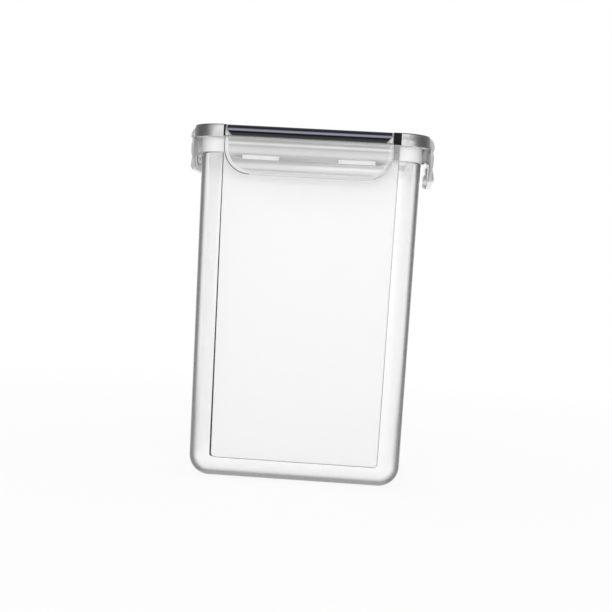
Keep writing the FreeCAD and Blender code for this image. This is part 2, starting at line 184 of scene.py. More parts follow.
def extrude_along(corners, low, high):
    """Make a solid of a closed profile that runs along the side from low to high."""
    bm = line_through(corners, closed=True)
    bmesh.ops.translate(bm, verts=bm.verts, vec=(0, low, 0))
    bmesh.ops.holes_fill(bm, edges=bm.edges, sides=0)
    pushed = bmesh.ops.extrude_face_region(bm, geom=bm.faces[:])
    bmesh.ops.translate(bm, verts=new_points(pushed), vec=(0, high - low, 0))
    bmesh.ops.recalc_face_normals(bm, faces=bm.faces)
    return bm


def block(x_range, y_range, z_range):
    """A rectangular block."""
    bm = bmesh.new()
    bmesh.ops.create_cube(bm, size=1)
    for axis, (low, high) in enumerate((x_range, y_range, z_range)):
        for vert in bm.verts:
            vert.co[axis] = high if vert.co[axis] > 0 else low
    return bm


def pin_hole():
    """Round bar along the hinge line."""
    bm = bmesh.new()
    bmesh.ops.create_cone(
        bm, cap_ends=True, segments=24, radius1=PIN_HOLE, radius2=PIN_HOLE, depth=4 * FAR,
        matrix=Matrix.Translation((AXIS_OUT, 0, AXIS_HEIGHT)) @ Matrix.Rotation(math.pi / 2, 4, "X"),
    )
    return bm


def combine(bm, tool, operation):
    """Cut a tool from a shape or join it on."""
    made = []
    for shape in (bm, tool):
        mesh = bpy.data.meshes.new("shape")
        shape.to_mesh(mesh)
        shape.free()
        made.append(bpy.data.objects.new("shape", mesh))
        bpy.context.collection.objects.link(made[-1])
    change = made[0].modifiers.new("change", "BOOLEAN")
    change.operation = operation
    change.object = made[1]
    change.solver = "EXACT"
    bpy.context.view_layer.update()
    changed = made[0].evaluated_get(bpy.context.evaluated_depsgraph_get())
    result = bmesh.new()
    result.from_mesh(changed.to_mesh())
    changed.to_mesh_clear()
    for item in made:
        mesh = item.data
        bpy.data.objects.remove(item)
        bpy.data.meshes.remove(mesh)
    return result


def turned(bm, angle):
    """Turn a shape from the right-hand side to another side."""
    bmesh.ops.rotate(bm, verts=bm.verts, cent=(0, 0, 0), matrix=Matrix.Rotation(math.radians(angle), 3, "Z"))
    return bm


def end_range(end, pair):
    """From and to along a side, at its left end (-1) or its right end (1)."""
    return sorted(end * along for along in pair)


def mark_faces(bm, name, chosen):
    """Keep on each face a number from 0 to 1 that says how far it is one of the chosen ones."""
    layer = bm.faces.layers.float.new(name)
    for face in bm.faces:
        face[layer] = float(chosen(face, face.calc_center_median()))


def outward_at(middle):
    """The way out of the side that a point is on."""
    across = abs(middle.x) > abs(middle.y)
    return Vector((math.copysign(across, middle.x), math.copysign(not across, middle.y), 0))


def rightward_at(middle):
    """The way to the right along the side that a point is on, seen from outside."""
    outward = outward_at(middle)
    return Vector((-outward.y, outward.x, 0))


def faces_in(face, middle):
    """True for a face that looks towards the inside."""
    return face.normal.dot(outward_at(middle)) < LOOKS_IN


def finish_piece(bm, name, material, body, nodes, edge=0.0):
    """Turn a shape into a piece in metres, with softened edges, that rides on a body for a CAD node."""
    bmesh.ops.scale(bm, verts=bm.verts, vec=(METRE, METRE, METRE))
    for face in bm.faces:
        face.smooth = True
    mesh = bpy.data.meshes.new(name)
    bm.to_mesh(mesh)
    bm.free()
    mesh.materials.append(material)
    piece = bpy.data.objects.new(name, mesh)
    bpy.context.collection.objects.link(piece)
    if edge:
        soft = piece.modifiers.new("soft_edges", "BEVEL")
        soft.width = edge * METRE
        soft.segments = 2
        soft.limit_method = "ANGLE"
        soft.angle_limit = math.radians(SOFT_ANGLE)
        soft.material = -1
    even = piece.modifiers.new("even_shading", "WEIGHTED_NORMAL")
    even.keep_sharp = True
    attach(piece, body)
    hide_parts(*nodes)


# Finishes. Tones are (how far along its surface the plastic is seen, grey) or (millimetres, grey or colour).

PLASTIC_IOR = 1.5
HAZE_LEAST = 0.8
# Greys by how far along its surface clear plastic is seen: painted shade, darkest towards the outline
WALL_EDGE_SHADE = [
    (0.0, 1.0), (0.30, 0.985), (0.348, 0.80), (0.404, 0.59), (0.466, 0.22), (0.546, 0.06), (0.644, 0.02),
    (1.0, 0.005),
]
# Near the base: wider painted shade towards the outline
BASE_EDGE_SHADE = [
    (0.0, 1.0), (0.19, 0.98), (0.235, 0.9), (0.275, 0.8), (0.324, 0.6), (0.38, 0.36), (0.445, 0.17), (0.57, 0.05),
    (1.0, 0.005),
]
# Painted shade in a band round the heel
HEEL_SHADE = [(0.0, 0.45), (0.3, 0.42), (0.38, 0.28), (0.6, 0.2), (1.0, 0.08)]
# Painted shade on the lid's top band, from a light middle to dark corners
BAND_EDGE_SHADE = [
    (0.0, 1.0), (0.06, 1.0), (0.10, 0.74), (0.15, 0.46), (0.20, 0.24), (0.25, 0.12), (0.4, 0.055), (1.0, 0.02)
]
# Painted shade on the lid's skirt, lighter than on the band
SKIRT_EDGE_SHADE = [(0.0, 1.0), (0.15, 1.0), (0.25, 0.95), (0.4, 0.85), (0.6, 0.65), (1.0, 0.4)]

# Heights between which the base tones, with their wider painted shade, give way to the wall's own
BASE_FADE = [(30.0, 0.0), (65.0, 1.0)]

# Up the flap: rises above its lower edge, then heights, with greys that paint light and shade: painted bands of
# light and shade along the lip, a painted highlight along the ridge and a painted shadow under the strip. Across
# its ends: distances out from the middle.
LIP_PAINTED_LIGHT_AND_SHADE = [(0.0, 0.84), (0.8, 0.64), (1.8, 0.48), (2.6, 0.50), (3.4, 0.72), (4.8, 0.72), (6.2, 0.42)]
FLAP_PAINTED_LIGHT_AND_SHADE = [
    (158.4, 0.40), (159.6, 0.68), (161.5, 0.70), (163.0, 0.58), (163.7, 0.42), (164.9, 0.84), (165.6, 0.54),
    (166.3, 0.34), (167.6, 0.50), (168.2, 0.34), (168.5, 0.9), (LID_TOP, 0.9),
]
# Across the flap's ends and underside: painted light and shade in stripes
END_PAINTED_LIGHT_AND_SHADE = [
    (EDGE_BACK, 0.06), (57.6, 0.06), (57.8, 0.85), (58.4, 0.85), (58.6, 0.34), (59.0, 0.34), (59.3, 0.68),
    (60.4, 0.68), (60.7, 0.46), (LIP_OUTER, 0.46),
]
# Painted highlight along the flap's border and in its windows, and painted shade in a thin outline at its left
# end
PAINTED_RIM_HIGHLIGHT, PAINTED_OUTLINE_SHADE = 0.88, 0.08
FLAP_CLEAR, END_CLEAR, FLAP_ROUGH = (0.42, 0.48), 0.3, (0.30, 0.38)

# Strip colours by height: its own blue-black and black, a painted violet highlight along the shoulder, and a
# painted dark grey reflection that fades to black along its foot
NAVY, PAINTED_VIOLET_HIGHLIGHT, BLACK = (0.012, 0.013, 0.022), (0.30, 0.305, 0.37), (0.002, 0.002, 0.003)
PAINTED_REFLECTION_FADE, PAINTED_REFLECTION_GREY = (0.035, 0.035, 0.038), (0.05, 0.05, 0.055)
STRIP_COLOUR_AND_PAINTED_SHEEN = [
    (STRIP_LOW, PAINTED_REFLECTION_GREY), (169.4, PAINTED_REFLECTION_FADE), (170.1, BLACK), (170.5, BLACK), (171.0, PAINTED_VIOLET_HIGHLIGHT), (171.5, PAINTED_VIOLET_HIGHLIGHT),
    (172.2, NAVY), (STRIP_TOP, NAVY),
]
STRIP_ROUGH = (0.18, 0.26)

Finish = namedtuple("Finish", "mark tone rough clear")


def material_of(name):
    """A new material, with its node tree and its main shader."""
    material = bpy.data.materials.new(name)
    material.use_nodes = True
    tree = material.node_tree
    return material, tree, tree.nodes["Principled BSDF"]


def object_place(tree):
    """Where a point lies in its piece's own space."""
    return tree.nodes.new("ShaderNodeTexCoord").outputs["Object"]


def fine_noise(tree, scale):
    """Noise in object space, with its size given as patches per metre."""
    noise = tree.nodes.new("ShaderNodeTexNoise")
    noise.inputs["Scale"].default_value = scale
    noise.inputs["Detail"].default_value = 4
    tree.links.new(object_place(tree), noise.inputs["Vector"])
    return noise.outputs["Fac"]


def spread(tree, source, low, high, from_low=0.0, from_high=1.0):
    """Map a value from one range to another."""
    node = tree.nodes.new("ShaderNodeMapRange")
    node.inputs["From Min"].default_value = from_low
    node.inputs["From Max"].default_value = from_high
    node.inputs["To Min"].default_value = low
    node.inputs["To Max"].default_value = high
    tree.links.new(source, node.inputs["Value"])
    return node.outputs["Result"]


def ramp(tree, source, stops):
    """Colours or greys at positions from 0 to 1."""
    node = tree.nodes.new("ShaderNodeValToRGB")
    elements = node.color_ramp.elements
    while len(elements) < len(stops):
        elements.new(0.5)
    for element, (position, tone) in zip(elements, stops):
        element.position = position
        element.color = (*tone, 1) if isinstance(tone, tuple) else (tone, tone, tone, 1)
    tree.links.new(source, node.inputs["Fac"])
    return node.outputs["Color"]


def ramp_at(tree, source, stops):
    """Colours or greys at places in millimetres."""
    low, high = stops[0][0], stops[-1][0]
    share = spread(tree, source, 0, 1, low * METRE, high * METRE)
    return ramp(tree, share, [((place - low) / (high - low), tone) for place, tone in stops])


def ramp_in_height(tree, stops):
    """Colours or greys at heights."""
    split = tree.nodes.new("ShaderNodeSeparateXYZ")
    tree.links.new(object_place(tree), split.inputs["Vector"])
    return ramp_at(tree, split.outputs["Z"], stops)


def ramp_outward(tree, stops):
    """Colours or greys at distances from the middle of the canister out to a side."""
    away = tree.nodes.new("ShaderNodeVectorMath")
    away.operation = "ABSOLUTE"
    split = tree.nodes.new("ShaderNodeSeparateXYZ")
    larger = tree.nodes.new("ShaderNodeMath")
    larger.operation = "MAXIMUM"
    tree.links.new(object_place(tree), away.inputs[0])
    tree.links.new(away.outputs["Vector"], split.inputs["Vector"])
    for socket, name in enumerate("XY"):
        tree.links.new(split.outputs[name], larger.inputs[socket])
    return ramp_at(tree, larger.outputs["Value"], stops)


def face_mark(tree, name):
    """A number from 0 to 1 that the piece keeps on its faces."""
    node = tree.nodes.new("ShaderNodeAttribute")
    node.attribute_name = name
    return node.outputs["Fac"]


def blend(tree, share, first, second, kind="RGBA"):
    """Mix two colours or numbers. Each is an output or a plain value."""
    node = tree.nodes.new("ShaderNodeMix")
    node.data_type = kind
    *inputs, result = {"RGBA": (6, 7, 2), "FLOAT": (2, 3, 0)}[kind]
    tree.links.new(share, node.inputs[0])
    for socket, given in zip(inputs, (first, second)):
        if isinstance(given, bpy.types.NodeSocket):
            tree.links.new(given, node.inputs[socket])
        else:
            node.inputs[socket].default_value = (given, given, given, 1) if kind == "RGBA" else given
    return node.outputs[result]


def edge_tone(tree, stops):
    """Painted shade on clear plastic, darker the further along its surface it is seen."""
    edge = tree.nodes.new("ShaderNodeLayerWeight")
    edge.inputs["Blend"].default_value = 0.5
    return ramp(tree, edge.outputs["Facing"], stops)


def tint_on_the_way_in(tree, shader, tone, clear):
    """Colour and haze act where light enters the plastic. Where it leaves, the plastic is clear."""
    surface = tree.nodes.new("ShaderNodeNewGeometry")
    leaving = surface.outputs["Backfacing"]
    tree.links.new(blend(tree, leaving, tone, 1.0), shader.inputs["Base Color"])
    tree.links.new(blend(tree, leaving, clear, 1.0, "FLOAT"), shader.inputs["Transmission Weight"])


def clear_plastic(name, tones, rough, haze, finishes, base_tones=None):
    """Clear moulded plastic, with painted shade that deepens its tone where it is seen along the wall, and base
    tones with wider painted shade near the base.

    Marked faces have a finish of their own, whose tone is one grey or a list of tones.
    """
    material, tree, shader = material_of(name)
    shader.inputs["IOR"].default_value = PLASTIC_IOR
    tone = edge_tone(tree, tones)
    if base_tones:
        tone = blend(tree, ramp_in_height(tree, BASE_FADE), edge_tone(tree, base_tones), tone)
    flow = fine_noise(tree, scale=90)
    gloss = spread(tree, flow, *rough)
    clear = spread(tree, flow, 1 - haze, 1 - HAZE_LEAST * haze)
    for finish in finishes:
        share = face_mark(tree, finish.mark)
        marked = edge_tone(tree, finish.tone) if isinstance(finish.tone, list) else finish.tone
        tone = blend(tree, share, tone, marked)
        gloss = blend(tree, share, gloss, finish.rough, "FLOAT")
        clear = blend(tree, share, clear, finish.clear, "FLOAT")
    tree.links.new(gloss, shader.inputs["Roughness"])
    tint_on_the_way_in(tree, shader, tone, clear)
    return material


def hazy_flap(name, low):
    """Clear plastic with a haze, with light and shade painted into its tone by height from the lip up to the
    strip.
    """
    material, tree, shader = material_of(name)
    # Painted light and shade by height: bands along the lip, a highlight on the ridge, a shadow under the strip
    tone = ramp_in_height(tree, [(low + rise, tone) for rise, tone in LIP_PAINTED_LIGHT_AND_SHADE] + FLAP_PAINTED_LIGHT_AND_SHADE)
    # Painted highlight along the border and in the windows
    tone = blend(tree, face_mark(tree, "rim"), tone, PAINTED_RIM_HIGHLIGHT)
    # Painted shade in a thin outline at the left end
    tone = blend(tree, face_mark(tree, "outline"), tone, PAINTED_OUTLINE_SHADE)
    flow = fine_noise(tree, scale=120)
    back = face_mark(tree, "back")
    end = face_mark(tree, "end")
    # Ends and underside take painted light and shade in stripes across them
    tone = blend(tree, end, blend(tree, back, tone, 1.0), ramp_outward(tree, END_PAINTED_LIGHT_AND_SHADE))
    clear = blend(tree, back, spread(tree, flow, *FLAP_CLEAR), 1.0, "FLOAT")
    tint_on_the_way_in(tree, shader, tone, blend(tree, end, clear, END_CLEAR, "FLOAT"))
    tree.links.new(spread(tree, flow, *FLAP_ROUGH), shader.inputs["Roughness"])
    shader.inputs["Coat Weight"].default_value = 1.0
    shader.inputs["Coat Roughness"].default_value = 0.12
    shader.inputs["IOR"].default_value = PLASTIC_IOR
    return material


def strip_black():
    """Glossy plastic in blue-black, with a painted violet highlight along the shoulder and a painted dark grey
    reflection along its foot.
    """
    material, tree, shader = material_of("strip_black")
    # Painted highlight and painted reflection in the base colour, by height
    tree.links.new(ramp_in_height(tree, STRIP_COLOUR_AND_PAINTED_SHEEN), shader.inputs["Base Color"])
    tree.links.new(spread(tree, fine_noise(tree, scale=160), *STRIP_ROUGH), shader.inputs["Roughness"])
    shader.inputs["Specular IOR Level"].default_value = 0.05
    shader.inputs["Specular Tint"].default_value = (0.86, 0.87, 1.0, 1)
    return material


def plain_material(name, dark, light, rough, grain, **sockets):
    """A material whose colour and gloss vary a little in fine grain."""
    material, tree, shader = material_of(name)
    flow = fine_noise(tree, grain)
    tree.links.new(ramp(tree, flow, [(0.3, dark), (0.7, light)]), shader.inputs["Base Color"])
    tree.links.new(spread(tree, flow, *rough), shader.inputs["Roughness"])
    for socket, given in sockets.items():
        shader.inputs[socket.replace("_", " ")].default_value = given
    return material


CLEAR_WALL = clear_plastic(
    "clear_wall", WALL_EDGE_SHADE, rough=(0.06, 0.12), haze=0.5, base_tones=BASE_EDGE_SHADE,
    finishes=[
        Finish("inside", tone=1.0, rough=0.02, clear=1.0),
        # Painted shade: a dark line along the step round each field
        Finish("step", tone=0.01, rough=0.3, clear=0.1),
        Finish("satin", tone=0.985, rough=0.4, clear=0.25),
        # Lugs opaque white: a painted highlight that shows in the flap's windows
        Finish("catch", tone=1.0, rough=0.5, clear=0.0),
        # Painted shade in a band round the heel
        Finish("heel", tone=HEEL_SHADE, rough=0.1, clear=0.5),
    ],
)
CLEAR_LID = clear_plastic(
    "clear_lid", WALL_EDGE_SHADE, rough=(0.14, 0.2), haze=0.05,
    finishes=[
        Finish("inside", tone=1.0, rough=0.1, clear=1.0),
        Finish("band", tone=BAND_EDGE_SHADE, rough=0.32, clear=0.55),
        Finish("skirt", tone=SKIRT_EDGE_SHADE, rough=0.4, clear=0.05),
        Finish("post", tone=0.42, rough=0.35, clear=0.4),
    ],
)
STRIP_BLACK = strip_black()
BRACKET_BLACK = plain_material(
    "bracket_black", dark=(0.004, 0.004, 0.005), light=(0.008, 0.008, 0.009), rough=(0.35, 0.5), grain=400,
    Specular_IOR_Level=0.12,
)
SEAL_WHITE = plain_material(
    "white_seal", dark=(0.80, 0.80, 0.79), light=(0.86, 0.86, 0.85), rough=(0.4, 0.55), grain=300,
    Transmission_Weight=0.35,
)
DRAWN_STEEL = plain_material(
    "drawn_steel", dark=(0.52, 0.52, 0.53), light=(0.64, 0.64, 0.65), rough=(0.25, 0.4), grain=700, Metallic=1
)
FLAP_PLASTIC = {low: hazy_flap(f"hazy_flap_{low:.0f}", low) for low in sorted(set(FLAP_LOW.values()))}


def wall_out(height):
    """How far out the canister's flat wall stands at a height."""
    return BASE_HALF + (SHOULDER_HALF - BASE_HALF) * height / SHOULDER_HEIGHT


def field_cutter():
    """Shallow tapered block, rounded at its lower corners, that sinks the flat field into one side."""
    bm = bmesh.new()
    rings = []
    for depth in (-ROOM, FIELD_DEPTH):
        share = depth / FIELD_DEPTH
        left = [step * share - along for along, step in zip(FIELD_LEFT, STEP_LEFT)]
        right = [along - step * share for along, step in zip(FIELD_RIGHT, STEP_RIGHT)]
        foot = FIELD_LOW + STEP_FOOT * share
        corners = ((left[0], foot), (right[0], foot), (right[1], FIELD_HIGH), (left[1], FIELD_HIGH))
        ring = [bm.verts.new((wall_out(height) - depth, along, height)) for along, height in corners]
        rings += bm.faces.new(ring).edges
    bmesh.ops.bridge_loops(bm, edges=rings)
    across = [edge for edge in bm.edges if edge not in rings]
    lower_corners = [edge for edge in across if edge.verts[0].co.z < SHOULDER_HEIGHT / 2]
    round_off(bm, lower_corners, FIELD_CORNER, segments=4, affect="EDGES")
    for band in range(1, FIELD_BANDS):
        cut_level(bm, FIELD_LOW + (FIELD_HIGH - FIELD_LOW) * band / FIELD_BANDS)
    bmesh.ops.triangulate(bm, faces=bm.faces)
    bmesh.ops.recalc_face_normals(bm, faces=bm.faces)
    return bm


def sunk_at(middle):
    """How far a point lies inside the canister's flat wall."""
    return wall_out(middle.z) - max(abs(middle.x), abs(middle.y))


def in_field(face, middle):
    """True for the floor of a field and the step round it."""
    share = (middle.z - FIELD_LOW) / (FIELD_HIGH - FIELD_LOW)
    left, right = (foot + (top - foot) * share for foot, top in (FIELD_LEFT, FIELD_RIGHT))
    level = FIELD_LOW - SLACK < middle.z < FIELD_HIGH + SLACK
    within = level and -left - SLACK < middle.dot(rightward_at(middle)) < right + SLACK
    return within and LEAST_SUNK < sunk_at(middle) < FIELD_DEPTH + DEPTH_SLACK and not faces_in(face, middle)


def is_floor(face, middle):
    """True for a face at a field's full depth that looks straight out."""
    deep = sunk_at(middle) > FIELD_DEPTH - LEAST_SUNK
    return deep and max(abs(face.normal.x), abs(face.normal.y)) > SQUARE_ON


def step_shade_share(face, middle):
    """Share of painted shade on the step round a field: full at the left end, and less along its foot and at its
    right end.
    """
    if not in_field(face, middle) or is_floor(face, middle):
        return 0
    return 1 if face.normal.dot(rightward_at(middle)) > LEANS else FAINT_STEP_SHADE


def make_canister():
    """Clear box with a sunk field on each side, and near its top a flange with two catch lugs."""
    bm = sweep_square([
        (CORNER_CENTER, 0, 0), (BASE_HALF, 0, HEEL), (SHOULDER_HALF, SHOULDER_HEIGHT, 0.3),
        (NECK_HALF, SHOULDER_HEIGHT, 0), (NECK_HALF, RIM, 0.5), (MOUTH_HALF, RIM, 0.5),
        (FLOOR_HALF, FLOOR, CAVITY_HEEL), (CORNER_CENTER, FLOOR, 0),
    ])
    foot = block((-FOOT_HALF, FOOT_HALF), (-FOOT_HALF, FOOT_HALF), (-ROOM, FOOT_DEPTH))
    upright = [edge for edge in foot.edges if abs(edge.verts[0].co.z - edge.verts[1].co.z) > FOOT_DEPTH]
    round_off(foot, upright, FOOT_CORNER, segments=8, affect="EDGES")
    bm = combine(bm, foot, "DIFFERENCE")
    for angle in SIDES.values():
        bm = combine(bm, turned(field_cutter(), angle), "DIFFERENCE")
        flange = block((FLANGE_ROOT, FLANGE_REACH), (-FLANGE_HALF, FLANGE_HALF), FLANGE_LEVELS)
        bm = combine(bm, turned(flange, angle), "UNION")
        for end in (-1, 1):
            lug = block((FLANGE_ROOT, LUG_REACH), end_range(end, LUG_ALONG), LUG_LEVELS)
            bm = combine(bm, turned(lug, angle), "UNION")

    def on_heel(face, middle):
        return middle.z < HEEL_TOP and HEEL_TILTS[0] < face.normal.z < HEEL_TILTS[1]

    mark_faces(bm, "inside", lambda face, middle: faces_in(face, middle) and middle.z > INSIDE_FROM)
    # Painted shade on the step round each field
    mark_faces(bm, "step", step_shade_share)
    # Heel faces for the painted shade round the base
    mark_faces(bm, "heel", on_heel)
    mark_faces(bm, "satin", lambda face, middle: in_field(face, middle) and is_floor(face, middle))
    # Lug faces for the painted highlight in the flap's windows
    mark_faces(bm, "catch", lambda face, middle: max(abs(middle.x), abs(middle.y)) > CATCH_FROM)
    finish_piece(
        bm, "clear_canister", CLEAR_WALL, "canister", ["canister_shell"], edge=FINE_EDGE
    )


def make_lid():
    """Clear lid with a groove for the seal, and on each side a bay for the flap's strip and a post."""
    bm = sweep_square([
        (STACK_HALF, STACK_LEVEL, 0), (STACK_HALF, LID_TOP, 0.3), (LID_HALF, LID_TOP, 0.8),
        (LID_HALF, BAND_LOW, 0.3), (SKIRT_HALF, BAND_LOW, 0), (SKIRT_HALF, SKIRT_LOW, 0.5),
        (GROOVE_OUTER, SKIRT_LOW, 0.5), (GROOVE_OUTER, GROOVE_TOP, 0), (GROOVE_INNER, GROOVE_TOP, 0),
        (GROOVE_INNER, PLUG_LOW, 0.6), (PLUG_INNER, PLUG_LOW, 0.6), (PLUG_INNER, PLATE_LOW, 0),
    ])
    inside_skirt = (SKIRT_HALF + GROOVE_OUTER) / 2
    post_parts = ((SKIRT_LOW, POST_STEP, POST_FOOT_REACH), (POST_STEP, BAND_LOW + OVERLAP, POST_REACH))
    for angle in SIDES.values():
        for low, high, reach in post_parts:
            bm = combine(bm, turned(block((inside_skirt, reach), POST_ALONG, (low, high)), angle), "UNION")
        bay = block((BAY_BACK, BAY_BACK + FAR), (-BAY_LEFT, BAY_RIGHT), (BAY_FLOOR, LID_TOP + FAR))
        bm = combine(bm, turned(bay, angle), "DIFFERENCE")
        for along in SLOTS_ALONG:
            slot = block((SLOT_BACK, BAY_BACK + OVERLAP), along, SLOT_LEVELS)
            bm = combine(bm, turned(slot, angle), "DIFFERENCE")

    def out(middle):
        return middle.dot(outward_at(middle))

    def under_band(face, middle):
        return face.normal.z < -STEEP and middle.z > BAY_FLOOR and out(middle) > SKIRT_HALF

    def on_skirt(face, middle):
        return under_band(face, middle) or middle.z < BAY_FLOOR and not faces_in(face, middle)

    def on_post(face, middle):
        return middle.z < BAND_LOW and out(middle) > POST_FROM and not faces_in(face, middle)

    mark_faces(bm, "inside", lambda face, middle: faces_in(face, middle) and not under_band(face, middle))
    mark_faces(bm, "band", lambda face, middle: middle.z > BAY_FLOOR and not faces_in(face, middle))
    mark_faces(bm, "post", on_post)
    mark_faces(bm, "skirt", on_skirt)
    finish_piece(bm, "clear_lid", CLEAR_LID, "lid", ["lid_shell"], edge=LID_EDGE)


def make_gasket():
    """Soft ring in the lid's groove."""
    inner, outer = GROOVE_INNER + SEAL_GAP, GROOVE_OUTER - SEAL_GAP
    low, high = RIM + SEAL_GAP, GROOVE_TOP - SEAL_GAP
    middle = (low + high) / 2
    corners = [(inner, high), (outer, high), (outer, low), (inner, low)]
    rounded = [(out, height, SEAL_ROUNDING) for out, height in corners]
    bm = sweep_square([(inner, middle, 0), *rounded, (inner, middle, 0)])
    finish_piece(bm, "seal_ring", SEAL_WHITE, "lid", ["gasket"])


def strip_section(low):
    """Corners of a strip's section, with its underside at a given height."""
    return [
        (STRIP_INNER, low, 1.4), (FLAP_OUTER, low, 0.3), (FLAP_OUTER, STRIP_TOP, SHOULDER),
        (STRIP_INNER, STRIP_TOP, 0.7),
    ]


def mitre_cut(bm, end, reach, keep_inner):
    """Cut a strip's section on the slope of its mitred end, and keep the strip or the wedge under it."""
    bmesh.ops.bisect_plane(
        bm, geom=everything(bm), plane_co=(0, end * reach, STRIP_LOW + MITRE), plane_no=(0, end, -1),
        clear_outer=keep_inner, clear_inner=not keep_inner,
    )
    close_holes(bm)
    return bm


def strip_end(end, reach, cheek):
    """Clear cheek over the end of a strip, with the wedge that fills its mitre."""
    section = strip_section(STRIP_LOW - CHEEK_DROP)
    plate = extrude_along(section, *end_range(end, (reach, cheek)))
    wedge = extrude_along(section, *end_range(end, (reach - MITRE, reach + OVERLAP)))
    wedge = mitre_cut(wedge, end, reach, keep_inner=False)
    return combine(combine(plate, wedge, "UNION"), pin_hole(), "DIFFERENCE")


def flap_levels(low):
    """How far out a flap's outer and inner surfaces stand, by height, from the lip up to the strip."""
    lip = [(low, LIP_OUTER), (low + LIP_RISE, LIP_OUTER), (low + LIP_FADE, LIP_OUTER - LIP)]
    outer = lip + [(height, FLAP_OUTER + step) for height, step in UPPER_LEVELS]
    inner = [
        (low, FLAP_BACK), (WINDOW_LEVELS[0], FLAP_BACK), (WINDOW_LEVELS[1], FLAP_INNER), (STRIP_LOW, FLAP_INNER)
    ]
    return outer, inner


def eased(levels, place):
    """Read a list of (place, value), with a soft change from each value to the next."""
    for (below, first), (above, second) in zip(levels, levels[1:]):
        if place <= above:
            share = min(max((place - below) / (above - below), 0), 1)
            return first + (second - first) * share * share * (3 - 2 * share)
    return levels[-1][1]


def inside_outline(along, height, low):
    """How far a point of a flap lies inside its outline, whose lower corners are rounded."""
    middle, half = (FLAP_RIGHT - FLAP_LEFT) / 2, (FLAP_RIGHT + FLAP_LEFT) / 2
    past_end = abs(along - middle) - (half - FLAP_CORNER)
    below_corner = low + FLAP_CORNER - height
    if past_end > 0 and below_corner > 0:
        return FLAP_CORNER - math.hypot(past_end, below_corner)
    return FLAP_CORNER - max(past_end, below_corner)


def largest_face(bm):
    return max(bm.faces, key=lambda face: face.calc_area())


def flap_outline(low, top, rings):
    """Flat outline of a flap with rounded lower corners, and rings of given widths along its border."""
    bm = bmesh.new()
    corners = ((-FLAP_LEFT, top), (-FLAP_LEFT, low), (FLAP_RIGHT, low), (FLAP_RIGHT, top))
    verts = [bm.verts.new((0, along, height)) for along, height in corners]
    bm.faces.new(verts)
    round_off(bm, verts[1:3], FLAP_CORNER, segments=16, affect="VERTICES")
    for width in rings:
        bmesh.ops.inset_region(
            bm, faces=[largest_face(bm)], thickness=width, use_boundary=True, use_even_offset=True
        )
    return bm


def turned_in_edge(low):
    """Thin edge that the lower corners of a flap turn in towards the canister."""
    bm = flap_outline(low, LID_TOP, (EDGE_WIDTH,))
    bmesh.ops.delete(bm, geom=[largest_face(bm)], context="FACES_ONLY")
    root = set(new_points(bmesh.ops.extrude_face_region(bm, geom=bm.faces[:])))
    depth = [(EDGE_FROM, EDGE_START), (EDGE_FULL, EDGE_BACK)]
    for vert in bm.verts:
        vert.co.x = EDGE_ROOT if vert in root else eased(depth, abs(vert.co.y))
    bmesh.ops.recalc_face_normals(bm, faces=bm.faces)
    through = (FLAP_INNER - FAR, FLAP_INNER + FAR)
    middle = block(through, (-EDGE_FROM, EDGE_FROM), (low - FAR, LID_TOP + FAR))
    above = block(through, (-2 * FAR, 2 * FAR), (low + EDGE_RISE, LID_TOP + FAR))
    return combine(combine(bm, middle, "DIFFERENCE"), above, "DIFFERENCE")


def flap_sheet(low):
    """Flat outline of a flap with rings along its border, cut into level bands."""
    bm = flap_outline(low, STRIP_LOW, RIM_RINGS)
    height = low + BAND_HEIGHT / 2
    while height < STRIP_LOW:
        cut_level(bm, height)
        height += BAND_HEIGHT
    return bm


